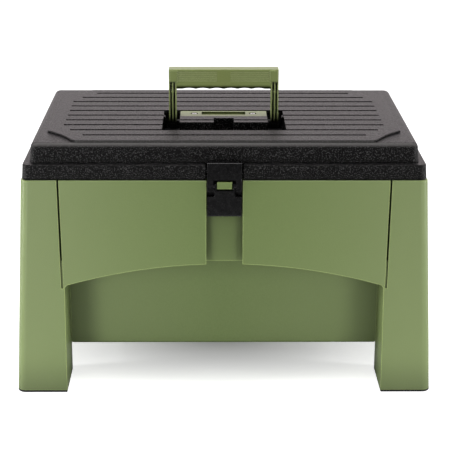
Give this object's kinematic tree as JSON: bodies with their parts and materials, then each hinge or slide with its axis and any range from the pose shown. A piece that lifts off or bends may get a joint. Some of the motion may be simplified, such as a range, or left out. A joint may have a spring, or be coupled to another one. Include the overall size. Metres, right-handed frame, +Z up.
{
  "type": "storage stool",
  "caption": "Plastic step stool with a storage tub under its hinged grooved lid, a fold-down carrying handle in the lid and a swing latch on the front.",
  "frame": {"origin": "on the floor, under the middle of the stool", "axes": "+Z up, +X along the length to the right as seen from the latch, +Y from the latch side to the hinge side"},
  "size_m": [0.403, 0.275, 0.2965],
  "materials": {
    "green_plastic": "fine moulded texture",
    "black_plastic": "grained moulded texture",
    "latch_plastic": "smooth moulded surface",
    "foot_rubber": "matt",
    "steel": "zinc plated"
  },
  "bodies": {
    "stool": {"stool_body": "green_plastic", "foot_pad_front_left": "foot_rubber", "foot_pad_front_right": "foot_rubber", "foot_pad_rear_left": "foot_rubber", "foot_pad_rear_right": "foot_rubber", "hinge_pin_left": "steel", "hinge_pin_right": "steel"},
    "lid": {"lid": "black_plastic", "handle_retainer": "green_plastic", "retainer_screws": "steel", "latch_bracket": "latch_plastic"},
    "handle": {"carry_handle": "green_plastic"},
    "latch": {"latch_lever": "latch_plastic"}
  },
  "joints": [
    {"name": "lid_hinge", "type": "hinge", "parent": "stool", "child": "lid", "pos_m": [0, 0.1327, 0.2158], "axis": [-1, 0, 0], "range_deg": [0, 100]},
    {"name": "handle_fold", "type": "hinge", "parent": "lid", "child": "handle", "pos_m": [0, -0.0115, 0.2416], "axis": [1, 0, 0], "range_deg": [0, 90]},
    {"name": "latch_swing", "type": "hinge", "parent": "lid", "child": "latch", "pos_m": [0, -0.1285, 0.206], "axis": [-1, 0, 0], "range_deg": [0, 90]}
  ]
}
